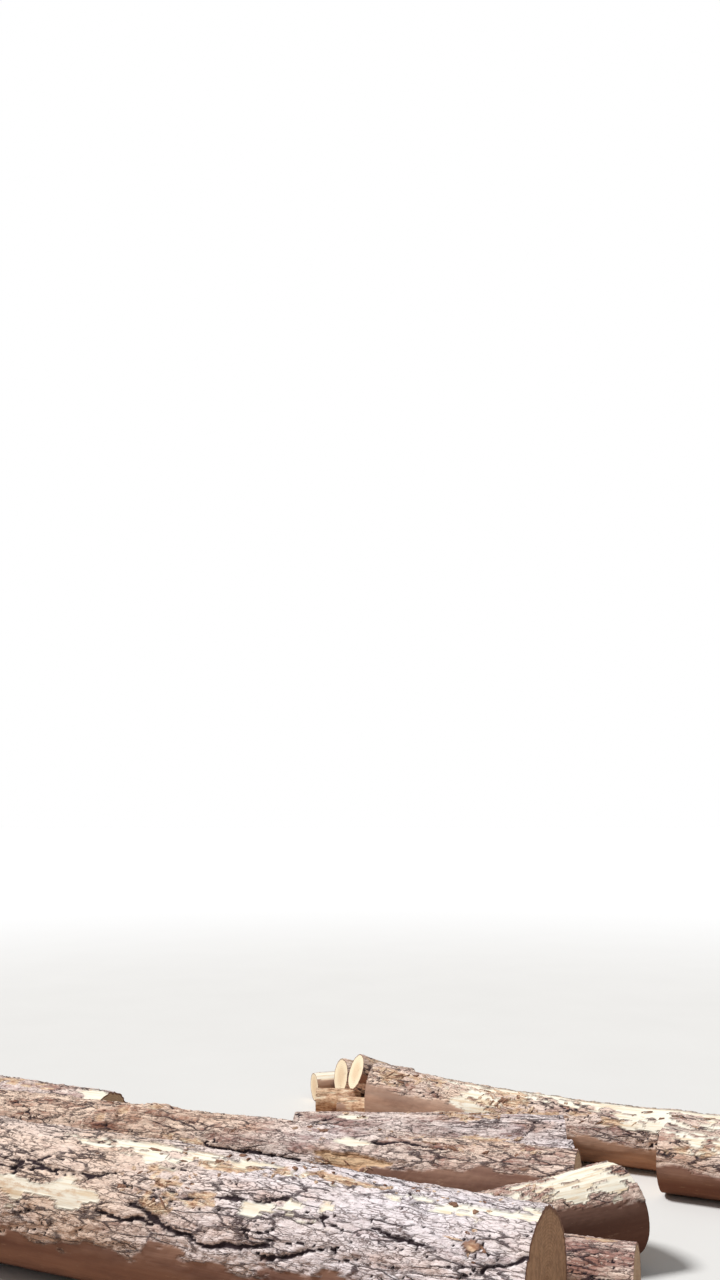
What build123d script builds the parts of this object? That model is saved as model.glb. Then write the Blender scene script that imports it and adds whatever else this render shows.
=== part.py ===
"""A heap of felled pine logs as they were dropped on level ground, in millimetres, +Z up.

Every log is one solid: a loft through cross-sections of the stem, with taper, sweep, an oval section,
the swelling of its butt and the low rings of swelling where branches grew. Its ends are saw cuts.

A log is stated by its length, its two diameters and the place and bearing of its near end. The heap
is then worked out as it would settle: a log on the ground slides until it touches the log it leans
on, and a log on top is lowered until it rests on two others, or on one other and the ground.
"""
import math
import os
from dataclasses import dataclass

import numpy as np
from build123d import *

# Lengths that the stock is cut to
SAWLOG_LENGTH = 3000
PULP_LENGTH = 2400
BOLT_LENGTH = 1200
BILLET_LENGTH = 420
STUB_LENGTH = 240
BUTT_PIECE_LENGTH = 875
OFFCUT_LENGTH = 480
BLOCK_LENGTH = 330

# Diameters under the bark's ridges, at the end nearest the front and at the other end
FRONT_LOG_DIAMETERS = (450, 465)
BLOCK_DIAMETERS = (262, 268)
BUTT_PIECE_DIAMETERS = (290, 280)
KNOTTY_LOG_DIAMETERS = (275, 325)
OFFCUT_DIAMETERS = (225, 235)
GREY_BOLT_DIAMETERS = (255, 262)
BACK_LOG_DIAMETERS = (285, 300)
PEELED_LOG_DIAMETERS = (268, 245)
RIGHT_LOG_DIAMETERS = (268, 245)
RIGHT_STUB_DIAMETERS = (120, 118)
LEFT_STUB_DIAMETERS = (130, 126)
BILLET_DIAMETERS = (186, 172)
THIN_BILLET_DIAMETERS = (152, 142)

# Where each near end lies on the ground plan, before its log slides or settles
FRONT_LOG_PLACE = (540, 3430)
BLOCK_PLACE = (870, 3720)
BUTT_PIECE_PLACE = (900, 4290)
KNOTTY_LOG_PLACE = (850, 4560)
OFFCUT_PLACE = (890, 4820)
GREY_BOLT_PLACE = (900, 5070)
BACK_LOG_PLACE = (-1160, 5500)
PEELED_LOG_PLACE = (60, 5810)
RIGHT_LOG_PLACE = (1290, 4950)
RIGHT_STUB_PLACE = (-135, 6035)
LEFT_STUB_PLACE = (-235, 6165)
FRONT_BILLET_PLACE = (-22, 6095)
MIDDLE_BILLET_PLACE = (-105, 6285)
THIN_BILLET_PLACE = (-260, 6420)

# Distances of the rings of branches from the near end
FRONT_LOG_WHORLS = (720, 1300, 2150)
KNOTTY_LOG_WHORLS = (700, 1330, 2050, 2300)
GREY_BOLT_WHORLS = (520,)
BACK_LOG_WHORLS = (820, 1500)
PEELED_LOG_WHORLS = (900, 1500)
RIGHT_LOG_WHORLS = (700, 1500)

# How far the stems bow at mid length
FRONT_LOG_SWEEP = -30
KNOTTY_LOG_SWEEP = 25
GREY_BOLT_SWEEP = -12
BACK_LOG_SWEEP = 20
PEELED_LOG_SWEEP = -60
PEELED_LOG_SAG = 25
RIGHT_LOG_SWEEP = 15

# How the stems grew
OVALITY = 0.025            # share by which a section is longer along its wide axis
BUTT_SWELLING = 20         # extra radius at a butt end
BUTT_REACH = 240           # distance in which that swelling dies away
WHORL_SWELLING = 5         # extra radius at a ring of branches
WHORL_REACH = 120          # half length of such a ring
CUT_SKEW = 2.0             # saw cuts are this many degrees out of square

# How the logs lie
REST_GAP = 0.64            # between two logs that touch
SLIDE_LIMIT = 350          # the furthest that a log slides from its stated place
TOUCH_ACCURACY = 0.01      # to which the place where it touches is found

# How finely a stem is worked out
STATION_SPACING = 300      # between cross-sections of the loft, away from whorls and butt
SECTION_POINTS = 12        # round a cross-section
SLIDE_SPACING = 15         # along a log, when it is slid against another
SETTLE_SPACING = 3         # along a log, when it is lowered
SAMPLE_ANGLES = 96         # round a log, for both


@dataclass
class Log:
    """A stem section. Angles round it run from its left side (0) over its top (90 degrees)."""
    name: str
    length: float
    diameters: tuple           # at the near end and at the far end
    place: tuple               # of the near end's centre on the ground plan
    bearing: float             # from the near end to the far end, in degrees from +X
    sweep: float = 0           # sideways bow at mid length, to the left
    sag: float = 0             # downward bow at mid length
    butt: str = ""             # "near" or "far", where that end is the tree's butt
    whorls: tuple = ()         # distances of the rings of branches from the near end
    wide_axis: float = 0       # angle of the oval's wide axis
    skews: tuple = (0, 0)      # how far each saw cut leans out of square, about the vertical
    near_height: float = 0     # of the stem's middle, found when the log is settled
    far_height: float = 0

    @property
    def pitch(self):
        return math.asin((self.far_height - self.near_height) / self.length)

    def stations(self):
        """Where the loft's cross-sections lie: evenly spaced, and closer at the butt and the whorls."""
        close = [whorl + step for whorl in self.whorls for step in (-WHORL_REACH, 0, WHORL_REACH)]
        if self.butt:
            steps = (BUTT_REACH / 2, BUTT_REACH)
            close += [step if self.butt == "near" else self.length - step for step in steps]
        count = max(2, round(self.length / STATION_SPACING))
        even = [self.length * i / count for i in range(1, count)]
        even = [place for place in even if all(abs(place - other) > WHORL_REACH for other in close)]
        inner = [place for place in close + even if WHORL_REACH / 2 < place < self.length - WHORL_REACH / 2]
        return np.array([0.0] + sorted(inner) + [float(self.length)])

    def ruled(self, distance, measure):
        """A measure of the stem, straight from one cross-section to the next, as the loft's sides are."""
        stations = self.stations()
        return np.interp(distance, stations, measure(stations))

    def bow(self, distance):
        """Share of the stem's bow: none at its ends, all of it at mid length."""
        share = distance / self.length
        return 4 * share * (1 - share)

    def swept(self, distance):
        return self.sweep * self.ruled(distance, self.bow)

    def sagged(self, distance):
        return self.sag * self.ruled(distance, self.bow)

    def mean_radius(self, distance):
        near, far = self.diameters
        mean = (near + (far - near) * distance / self.length) / 2
        if self.butt:
            from_butt = distance if self.butt == "near" else self.length - distance
            mean = mean + BUTT_SWELLING * np.exp(-((from_butt / BUTT_REACH) ** 2))
        for whorl in self.whorls:
            mean = mean + WHORL_SWELLING * np.exp(-((2 * (distance - whorl) / WHORL_REACH) ** 2))
        return mean

    def radius(self, distance, angle):
        oval = 1 + OVALITY * np.cos(2 * (angle - math.radians(self.wide_axis)))
        return self.ruled(distance, self.mean_radius) * oval

    def axes(self):
        """Unit vectors along the log, to its left and upward, square to each other."""
        turn, rise = math.radians(self.bearing), self.pitch
        along = np.array([math.cos(turn) * math.cos(rise), math.sin(turn) * math.cos(rise), math.sin(rise)])
        left = np.array([-math.sin(turn), math.cos(turn), 0.0])
        return along, left, np.cross(along, left)

    def origin(self):
        return np.array([self.place[0], self.place[1], self.near_height])

    def cuts(self, side):
        """Distances of the two saw cuts from the near end, at a side offset from its middle."""
        lean = math.tan(math.radians(CUT_SKEW))
        return lean * self.skews[0] * side, self.length + lean * self.skews[1] * side

    def surface(self, distance, angle):
        """Points on the bark, one for each pair of a distance and an angle, drawn out to the cuts."""
        along, left, up = self.axes()
        station = distance
        for _ in range(5):
            side = self.radius(station, angle) * np.cos(angle) + self.swept(station)
            near_cut, far_cut = self.cuts(side)
            station = near_cut + (far_cut - near_cut) * distance / self.length
        rise = self.radius(station, angle) * np.sin(angle) - self.sagged(station)
        return (self.origin() + station[..., None] * along + side[..., None] * left
                + rise[..., None] * up)

    def samples(self, spacing, first_angle=0.0, last_angle=2 * math.pi):
        """Distances and angles of a net of points over the bark."""
        distances = np.linspace(0, self.length, max(8, round(self.length / spacing)) + 1)
        count = round(SAMPLE_ANGLES * (last_angle - first_angle) / (2 * math.pi)) + 1
        return np.meshgrid(distances, np.linspace(first_angle, last_angle, count), indexing="ij")

    def outside(self, points):
        """How far points lie outside the bark, measured square to the stem. Far, beyond the ends."""
        along, left, up = self.axes()
        offset = points - self.origin()
        distance = offset @ along
        near_cut, far_cut = self.cuts(offset @ left)
        side, rise = offset @ left - self.swept(distance), offset @ up + self.sagged(distance)
        gap = np.hypot(side, rise) - self.radius(distance, np.arctan2(rise, side))
        return np.where((distance >= near_cut) & (distance <= far_cut), gap, np.inf)

    def roof(self, x, y):
        """Height of the log's upper side over points of the ground plan, minus infinity beside it."""
        along, left, up = self.axes()
        height = np.full(np.shape(x), self.near_height + self.diameters[0] / 2)
        for _ in range(5):
            offset = np.stack([x, y, height], axis=-1) - self.origin()
            distance, side = offset @ along, offset @ left
            side = side - self.swept(distance)
            angle = np.full(np.shape(x), math.pi / 2)
            for _ in range(4):
                angle = np.arccos(np.clip(side / self.radius(distance, angle), -1, 1))
            rise = self.radius(distance, angle) * np.sin(angle) - self.sagged(distance)
            level = self.near_height + distance * math.sin(self.pitch)
            height = level + rise / math.cos(self.pitch)
        near_cut, far_cut = self.cuts(side + self.swept(distance))
        past_ends = (distance < near_cut) | (distance > far_cut)
        beside = (np.abs(side) >= self.radius(distance, angle)) | past_ends
        return np.where(beside, -np.inf, height)


def gap_between(log, other):
    """The smaller of the two gaps found from either log's bark."""
    distances, angles = log.samples(SLIDE_SPACING)
    other_distances, other_angles = other.samples(SLIDE_SPACING)
    return min(other.outside(log.surface(distances, angles)).min(),
               log.outside(other.surface(other_distances, other_angles)).min())


def settle(log, lower_logs=()):
    """Lowers a log until two points of it rest, one on each side of its middle of mass."""
    spacing = SETTLE_SPACING if lower_logs else SLIDE_SPACING
    distances, angles = log.samples(spacing, math.pi, 2 * math.pi)
    rings = distances[:, 0]
    near, far = log.diameters
    mass = near ** 2 + near * far + far ** 2
    middle = log.length * (mass + near * far + 2 * far ** 2) / (4 * mass)
    log.near_height, log.far_height = near / 2, far / 2
    for _ in range(6):
        points = log.surface(distances, angles)
        stem = log.near_height + rings * math.sin(log.pitch)
        below = stem[:, None] - points[..., 2]
        needed = below.max(axis=1)
        for lower in lower_logs:
            roof = lower.roof(points[..., 0], points[..., 1]) + REST_GAP
            needed = np.maximum(needed, (roof + below).max(axis=1))
        before, after = rings <= middle, rings > middle
        left_at, right_at = rings[before][:, None], rings[after][None, :]
        left_needs, right_needs = needed[before][:, None], needed[after][None, :]
        slope = (right_needs - left_needs) / (right_at - left_at)
        height = left_needs + slope * (middle - left_at)
        best = np.unravel_index(np.argmax(height), height.shape)
        log.near_height = (left_needs - slope * left_at)[best]
        log.far_height = log.near_height + slope[best] * log.length
    return log


def slide(log, other, heading):
    """Slides a log over the ground along a heading until it touches the other log."""
    turn = math.radians(heading)
    start = log.place
    back, forward = -SLIDE_LIMIT, SLIDE_LIMIT
    while forward - back > TOUCH_ACCURACY:
        moved = (back + forward) / 2
        log.place = (start[0] + moved * math.cos(turn), start[1] + moved * math.sin(turn))
        settle(log)
        if gap_between(log, other) > REST_GAP:
            back = moved
        else:
            forward = moved
    return log


def solid(log):
    """The stem as a loft, straight between closed curves, of which the end ones lie on the saw cuts."""
    angles = np.arange(SECTION_POINTS) * 2 * math.pi / SECTION_POINTS
    rings = log.surface(*np.meshgrid(log.stations(), angles, indexing="ij"))
    curves = [Edge.make_spline([Vector(*point) for point in ring], periodic=True) for ring in rings]
    return Solid.make_loft([Wire([curve]) for curve in curves], ruled=True)


def lay_heap():
    """All the logs, settled, from the front of the heap to its back."""
    front = settle(Log("front_log", SAWLOG_LENGTH, FRONT_LOG_DIAMETERS, FRONT_LOG_PLACE, 156,
                       sweep=FRONT_LOG_SWEEP, whorls=FRONT_LOG_WHORLS, wide_axis=80, skews=(1, -1)))
    block = slide(Log("sawn_block", BLOCK_LENGTH, BLOCK_DIAMETERS, BLOCK_PLACE, 165,
                      wide_axis=30, skews=(2, 1)), front, 165)
    butt_piece = slide(Log("butt_piece", BUTT_PIECE_LENGTH, BUTT_PIECE_DIAMETERS, BUTT_PIECE_PLACE, 203.6,
                           butt="near", skews=(-2, 1)), front, 203.6)
    knotty = slide(Log("knotty_log", SAWLOG_LENGTH, KNOTTY_LOG_DIAMETERS, KNOTTY_LOG_PLACE, 163.6,
                       sweep=KNOTTY_LOG_SWEEP, whorls=KNOTTY_LOG_WHORLS, wide_axis=100,
                       skews=(1, 0)), butt_piece, 253.6)
    offcut = slide(Log("grey_offcut", OFFCUT_LENGTH, OFFCUT_DIAMETERS, OFFCUT_PLACE, 176,
                       wide_axis=60, skews=(-1, 1)), knotty, 266)
    bolt = slide(Log("grey_bolt", BOLT_LENGTH, GREY_BOLT_DIAMETERS, GREY_BOLT_PLACE, 177,
                     sweep=GREY_BOLT_SWEEP, whorls=GREY_BOLT_WHORLS, wide_axis=20, skews=(1, 1)), offcut, 265)
    back = slide(Log("back_log", PULP_LENGTH, BACK_LOG_DIAMETERS, BACK_LOG_PLACE, 154,
                     sweep=BACK_LOG_SWEEP, whorls=BACK_LOG_WHORLS, skews=(0, 1)), knotty, 244)
    peeled = slide(Log("peeled_log", PULP_LENGTH, PEELED_LOG_DIAMETERS, PEELED_LOG_PLACE, -24,
                       sweep=PEELED_LOG_SWEEP, sag=PEELED_LOG_SAG, butt="near", whorls=PEELED_LOG_WHORLS,
                       wide_axis=90, skews=(-1, 1)), bolt, -112)
    right = slide(Log("right_log", PULP_LENGTH, RIGHT_LOG_DIAMETERS, RIGHT_LOG_PLACE, -26,
                      sweep=RIGHT_LOG_SWEEP, whorls=RIGHT_LOG_WHORLS, skews=(1, -1)), peeled, 64)
    right_stub = slide(Log("right_stub", STUB_LENGTH, RIGHT_STUB_DIAMETERS, RIGHT_STUB_PLACE, -4,
                           skews=(1, 0)), peeled, -4)
    left_stub = slide(Log("left_stub", STUB_LENGTH, LEFT_STUB_DIAMETERS, LEFT_STUB_PLACE, -2,
                          skews=(-1, 0)), right_stub, -92)
    placed = [front, block, butt_piece, knotty, offcut, bolt, back, peeled, right, right_stub, left_stub]
    front_billet = settle(Log("front_billet", BILLET_LENGTH, BILLET_DIAMETERS, FRONT_BILLET_PLACE, 20,
                              skews=(1, 0)), placed)
    middle_billet = settle(Log("middle_billet", BILLET_LENGTH, BILLET_DIAMETERS, MIDDLE_BILLET_PLACE, 20,
                               skews=(-1, 1)), placed + [front_billet])
    thin_billet = slide(Log("thin_billet", BILLET_LENGTH, THIN_BILLET_DIAMETERS, THIN_BILLET_PLACE, 20,
                            skews=(1, 1)), middle_billet, -70)
    return placed + [front_billet, middle_billet, thin_billet]


def build():
    """The heap's solids by name, with the origin below the middle of their common box."""
    solids = {log.name: solid(log) for log in lay_heap()}
    boxes = [shape.bounding_box() for shape in solids.values()]
    low = np.min([tuple(box.min) for box in boxes], axis=0)
    high = np.max([tuple(box.max) for box in boxes], axis=0)
    shift = Vector(-(low[0] + high[0]) / 2, -(low[1] + high[1]) / 2, -low[2])
    return {name: shape.moved(Location(shift)) for name, shape in solids.items()}


os.makedirs("parts", exist_ok=True)
for name, shape in build().items():
    export_step(shape, f"parts/{name}.step")
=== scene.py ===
"""A heap of felled pine logs: bark, bare wood and sawn ends over the frame's solids, in metres.

Each CAD node's solid is measured as a stem, and one dense mesh with the bark's relief stands for it. A place
on a stem is given along it from its left end, and as a share of the way round: 0 is its front, 0.25 its top.
"""
import math
from dataclasses import dataclass
from functools import partial

import bpy
import numpy as np
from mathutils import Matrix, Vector
from mathutils.bvhtree import BVHTree


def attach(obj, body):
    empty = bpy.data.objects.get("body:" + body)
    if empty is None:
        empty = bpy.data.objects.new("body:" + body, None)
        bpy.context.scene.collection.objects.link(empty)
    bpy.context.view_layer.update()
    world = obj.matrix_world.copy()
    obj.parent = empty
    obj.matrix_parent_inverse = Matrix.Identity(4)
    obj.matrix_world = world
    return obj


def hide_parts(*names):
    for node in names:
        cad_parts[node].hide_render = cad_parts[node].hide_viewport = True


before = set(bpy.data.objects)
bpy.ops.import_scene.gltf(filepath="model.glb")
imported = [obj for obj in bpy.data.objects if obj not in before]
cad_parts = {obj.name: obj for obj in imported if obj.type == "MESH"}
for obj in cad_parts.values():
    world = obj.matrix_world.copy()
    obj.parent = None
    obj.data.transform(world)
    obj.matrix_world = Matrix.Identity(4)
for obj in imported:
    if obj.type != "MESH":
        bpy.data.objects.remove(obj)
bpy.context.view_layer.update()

MM = 0.001
FULL_TURN = 2 * math.pi
FLOOR_GAP = 0.5 * MM  # bark is pressed flat where it would sink into the floor

# How a solid is measured
RAY_REACH = 0.6  # longer than any log's radius
END_FACE_COSINE = 0.97  # a sawn face's facets point along the stem at least this much
END_FACE_DEPTH = 0.03  # and lie within this distance of its outermost one
STATION_MARGIN = 0.014  # from each end to the nearest cross-section that is measured
STATION_SPACING = 0.05
MIN_STATIONS = 8
CENTRING_ROUNDS = 3
CENTRING_RAYS = 24
RADIUS_RAYS = 72

# The repeatable noise
HASH_FACTORS = (374761393, 668265263, 362437)
HASH_MIX = 1274126177
LOW_32_BITS = 0xFFFFFFFF
LOW_24_BITS = 0xFFFFFF
OCTAVE_SEED_STEP = 17
FAR_AWAY = 9.0  # farther than any plate, in cells


@dataclass
class Grain:
    """One kind of noise: length and width of its broadest swells, number of octaves, own seed, height."""
    long: float
    wide: float
    octaves: int
    seed: int
    height: float = 1.0


PATCH_LEAN = Grain(0.16, 0.08, 2, 9, 0.9)  # in half widths of the patch
PATCH_EDGE = Grain(0.13, 0.035, 5, 0, 1.3)
PATCH_SPECKS = Grain(0.05, 0.02, 4, 3)
BELLY_WIND = Grain(0.35, 0.2, 2, 51, 16)  # in degrees
BELLY_EDGE = Grain(0.08, 0.03, 4, 52, 13)
CRACK_WANDER_ALONG = Grain(0.08, 0.05, 4, 61, 0.035)
CRACK_WANDER_ROUND = Grain(0.07, 0.05, 5, 62, 0.022)
PLATE_BEND_ALONG = Grain(1.0, 1.4, 5, 1, 0.5)  # these three in plates' lengths and widths
PLATE_BEND_ROUND = Grain(0.5, 1.4, 5, 2, 0.9)
CRACKED_PLACES = Grain(1.3, 1.5, 3, 4)
BARK_SWELL = Grain(0.35, 0.16, 2, 7, 0.4)  # in depths of the cracks between plates
BARK_FINE = Grain(0.03, 0.014, 3, 8, 0.25)
WOOD_FIBRES = Grain(0.25, 0.012, 3, 77, 0.8 * MM)
TORN_SHREDS = Grain(0.06, 0.009, 3, 78, 3.5 * MM)
WARM_CLOUDS = Grain(0.3, 0.1, 3, 5, 0.25)


def add_object(name, data):
    made = bpy.data.objects.new(name, data)
    bpy.context.collection.objects.link(made)
    return made


def scatter(i, j, seed):
    """A repeatable number from 0 to 1 for each cell of a grid."""
    for_i, for_j, for_seed = HASH_FACTORS
    mixed = (i * for_i + j * for_j + seed * for_seed) & LOW_32_BITS
    mixed = ((mixed ^ (mixed >> 13)) * HASH_MIX) & LOW_32_BITS
    return ((mixed ^ (mixed >> 16)) & LOW_24_BITS) / LOW_24_BITS


def smooth_step(low, high, value):
    """0 below low, 1 above high, smooth between."""
    share = np.clip((value - low) / (high - low), 0, 1)
    return share * share * (3 - 2 * share)


def blend(first, second, share):
    return first * (1 - share) + second * share


def weighted(weights, values):
    return sum(weight * value for weight, value in zip(weights, values))


def lattice_noise(u, v, around, seed):
    """Smooth noise from 0 to 1 on a unit grid that closes on itself after `around` cells of v."""
    i, j = np.floor(u).astype(np.int64), np.floor(v).astype(np.int64)
    f, g = smooth_step(0, 1, u - i), smooth_step(0, 1, v - j)
    here, next_up = j % around, (j + 1) % around
    low, high = (blend(scatter(i, k, seed), scatter(i + 1, k, seed), f) for k in (here, next_up))
    return blend(low, high, g)


def plates(u, v, around, seed):
    """Of the plate under each point: how far its edge is, and its own number from 0 to 1."""
    i, j = np.floor(u).astype(np.int64), np.floor(v).astype(np.int64)
    nearest, second, number = (np.full(u.shape, start) for start in (FAR_AWAY, FAR_AWAY, 0.0))
    for di in (-1, 0, 1):
        for dj in (-1, 0, 1):
            ci, cj = i + di, (j + dj) % around
            gap_u = i + di + scatter(ci, cj, seed) - u
            gap_v = j + dj + scatter(ci, cj, seed + 1) - v
            gap = np.hypot(gap_u, gap_v)
            closer = gap < nearest
            second = np.where(closer, nearest, np.minimum(second, gap))
            number = np.where(closer, scatter(ci, cj, seed + 2), number)
            nearest = np.where(closer, gap, nearest)
    return second - nearest, number


class Stem:
    """The shape of a CAD node, measured from inside by rays."""

    def __init__(self, node):
        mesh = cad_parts[node].data
        points = np.array([vertex.co[:] for vertex in mesh.vertices])
        self.tree = BVHTree.FromPolygons(points.tolist(), [polygon.vertices[:] for polygon in mesh.polygons])
        _, directions = np.linalg.eigh(np.cov((points - points.mean(0)).T))
        rightward = directions[:, 2] * np.sign(directions[0, 2])
        self.left, self.left_normal = self.sawn_face(mesh, -rightward)
        self.right, self.right_normal = self.sawn_face(mesh, rightward)
        self.length = float(np.linalg.norm(self.right - self.left))
        self.axis = (self.right - self.left) / self.length
        side = np.cross(self.axis, (0, 0, 1))
        self.side = side / np.linalg.norm(side)
        self.up = np.cross(self.side, self.axis)
        self.measure()

    def sawn_face(self, mesh, outward):
        """Centre and normal of the flat face at one end."""
        faces = [p for p in mesh.polygons if np.dot(p.normal, outward) > END_FACE_COSINE]
        outermost = max(np.dot(p.center, outward) for p in faces)
        faces = [p for p in faces if np.dot(p.center, outward) > outermost - END_FACE_DEPTH]
        areas = np.array([p.area for p in faces])
        centre = np.average([p.center[:] for p in faces], axis=0, weights=areas)
        normal = np.average([p.normal[:] for p in faces], axis=0, weights=areas)
        return centre, normal / np.linalg.norm(normal)

    def direction(self, angle):
        """Outward from the centre line, at an angle in radians."""
        return np.multiply.outer(np.cos(angle), self.side) + np.multiply.outer(np.sin(angle), self.up)

    def cast(self, centre, angle):
        """Distance of the surface from a point inside the stem."""
        way = self.direction(angle)
        hit_distance = self.tree.ray_cast(Vector(centre + way * RAY_REACH), Vector(-way), RAY_REACH)[3]
        return RAY_REACH - hit_distance

    def measure(self):
        """Works out the centre line and the radius round it."""
        count = max(MIN_STATIONS, round(self.length / STATION_SPACING))
        self.stations = np.linspace(STATION_MARGIN, self.length - STATION_MARGIN, count)
        centring = np.linspace(0, FULL_TURN, CENTRING_RAYS, endpoint=False)
        centres = []
        for station in self.stations:
            centre = self.left + self.axis * station
            for _ in range(CENTRING_ROUNDS):
                hits = [centre + self.direction(a) * self.cast(centre, a) for a in centring]
                middle = np.mean(hits, axis=0)
                centre = middle + self.axis * (station - np.dot(middle - self.left, self.axis))
            centres.append(centre)
        self.centres = np.array(centres)
        angles = np.linspace(0, FULL_TURN, RADIUS_RAYS + 1)
        self.radii = np.array([[self.cast(c, a) for a in angles] for c in centres])
        self.girth = float(self.radii.mean()) * 2 * math.pi

    def centre(self, along):
        """The centre line, which runs straight on beyond the first and the last station."""
        inside = [np.interp(along, self.stations, self.centres[:, k]) for k in range(3)]
        beyond = along - np.clip(along, self.stations[0], self.stations[-1])
        return np.stack(inside, -1) + np.multiply.outer(beyond, self.axis)

    def radius(self, along, turn):
        """Radius at a place, between the rays that measured it."""
        row = np.interp(along, self.stations, np.arange(len(self.stations)))
        column = (turn % 1) * RADIUS_RAYS
        r0 = np.clip(np.floor(row).astype(int), 0, len(self.stations) - 2)
        c0 = np.clip(np.floor(column).astype(int), 0, RADIUS_RAYS - 1)
        f, g = row - r0, column - c0
        low, high = (blend(self.radii[r0, k], self.radii[r0 + 1, k], f) for k in (c0, c0 + 1))
        return blend(low, high, g)

    def end_place(self, right, reach, turn):
        """Distance along the stem of its sawn end, at a reach from the middle."""
        centre, normal = (self.right, self.right_normal) if right else (self.left, self.left_normal)
        end = self.length if right else 0.0
        base = self.centre(np.array(end))
        way = self.direction(turn * FULL_TURN)
        lateral = ((centre - base - reach[..., None] * way) @ normal) / np.dot(self.axis, normal)
        return lateral + end

    def layered(self, along, turn, long, wide, octaves, seed):
        """Noise about 0, from −1 to 1, whose broadest swells are `long` along and `wide` round the stem."""
        around = max(2, round(self.girth / wide))
        total, weight = 0, 0
        for octave in range(octaves):
            fold = 2 ** octave
            own_seed = seed + OCTAVE_SEED_STEP * octave
            value = lattice_noise(along / long * fold, turn * around * fold, around * fold, own_seed)
            total = total + (value - 0.5) * 2 / fold
            weight += 1 / fold
        return total / weight

    def plated(self, along, turn, long, wide, seed):
        """Plates that are `long` along and `wide` round the stem."""
        around = max(3, round(self.girth / wide))
        return plates(along / long, turn * around, around, seed)


@dataclass
class Patch:
    """A place without its rough bark: bare or speckled wood, inner or torn bark, a scar, or rubbed smooth and
    coloured dark brown, which on undersides is painted shade.
    """
    kind: str
    at: float  # distance of its middle from the log's seen end
    angle: float  # degrees, from the log's front (0) over its top (90)
    long: float  # half its length
    wide: float  # half its width round the stem
    ragged: float


@dataclass
class Knot:
    """A swelling with a torn branch stub in it."""
    at: float
    angle: float
    reach: float
    height: float


@dataclass
class Crack:
    """One long crack, through points given as distance from the seen end and angle."""
    width: float
    points: tuple


@dataclass
class Loose:
    """Loose pieces of bark or wood scattered on the log round one place."""
    count: int
    at: float
    half_long: float
    angle: float
    half_angle: float
    longest: float = 0.028  # half the length of the longest piece
    slender: float = 1.0  # how narrow they are for their length


@dataclass
class Dressing:
    """What the bark of one log is like."""
    node: str
    slot: str  # the finish of the record that it has; not used
    seen_end: str  # "left" or "right"
    grid: float  # spacing of the mesh
    seed: int
    plate: tuple  # usual length and width of a bark plate
    depth: float  # of the cracks between plates
    warm: tuple  # how brown the bark is, from the seen end to the other end
    patches: tuple = ()
    shaded_belly: tuple = ()  # up to these angles the underside is rubbed smooth and coloured with painted shade, from seen to other end
    knots: tuple = ()
    cracks: tuple = ()
    pale: float = 0.0  # how light the painted shade on the smooth underside is
    aged_and_shade: float = 0.55  # how brown the sawn ends are, for age and for painted shade on ends turned from the light
    tone_and_shade: float = 0.0  # how dark the bark is, and how deep the painted shade on the underside is; below 0 lighter
    flakes: tuple = ()

    def turned(self, distance, length):
        """A distance from the seen end, measured from the left end instead, or the other way round."""
        return distance if self.seen_end == "left" else length - distance


MIN_ROWS, MIN_COLUMNS = 8, 24

# The outlines of patches, the smooth underside with its painted shade, long cracks and knots
PATCH_POWER = 1.5  # of its outline: 2 is an ellipse, 1 a lozenge
PATCH_RIM = (0.90, 1.02)
SPECK_COVER = {"speckled": -0.12, "inner": -0.07}
SPECK_SOFTNESS = 0.08
BELLY_SOFTNESS = 5  # degrees
BELLY_BACK = 182  # degrees, where the underside begins at the back
CRACK_BOTTOM = 0.35  # the share of a crack's half width that is fully deep
LONG_CRACK_DEPTH = 9 * MM
KNOT_STRETCH = 0.75
KNOT_RIPPLE = (0.12, 16)  # height and pitch
KNOT_STEEPNESS = 2.2
KNOT_HEART = (0.18, 0.36)  # its torn middle ends here, as shares of its reach
KNOT_HEART_DEPTH = 0.006

# Bark plates, with the flakes and small flakes on them, whose sizes are shares of a plate's
CRACKED_RANGE = (-0.35, 0.05)
CRACK_WIDENING = (0.0, 0.65)
CRACK_WIDTHS = (0.012, 0.07)
PLATE_CRACK_BOTTOM = 0.3
FLAKE_SIZE, FLAKE_EDGE = (0.30, 0.34), 0.16
SMALL_SIZE, SMALL_EDGE = (0.12, 0.17), 0.2
RISE = (0.5, 0.65, 0.55)  # heights of plates, flakes and small flakes
LEVELS = (0.4, 0.5, 0.5)  # those with lower numbers than this lie below the solid's surface
SHADE = (0.42, 0.33, 0.25)  # how much of the shade each gives
SINK = (1.1, 0.35, 0.2)  # depths of the cracks, and of the edges of flakes and small flakes
DARKEN = (1, 0.30, 0.16)  # how dark each of these is

# Where the rough bark is off
RUBBED_SMOOTHING = 0.8
RUBBED_SINK = 2.0 * MM
INNER_SINK = 3.0 * MM
BARE_SINK = 5.5 * MM
SCAR_SINK = 9 * MM
INNER_CRACK_CUT = 0.8
RUBBED_CRACK_CUT = 0.75

# Sawn ends
CAP_RINGS = np.array([1.0, 0.985, 0.965, 0.94, 0.9, 0.82, 0.72, 0.6, 0.48, 0.36, 0.24, 0.12, 0.04])
SAW_MARK_HEIGHT = 0.5 * MM
SAW_MARK_PITCH = 0.004
SAW_MARK_LEAN = 0.6
SAW_MARK_LIMIT = 0.95  # none on the rim of bark
BARK_SLOT, SAWN_SLOT = 0, 1


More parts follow.
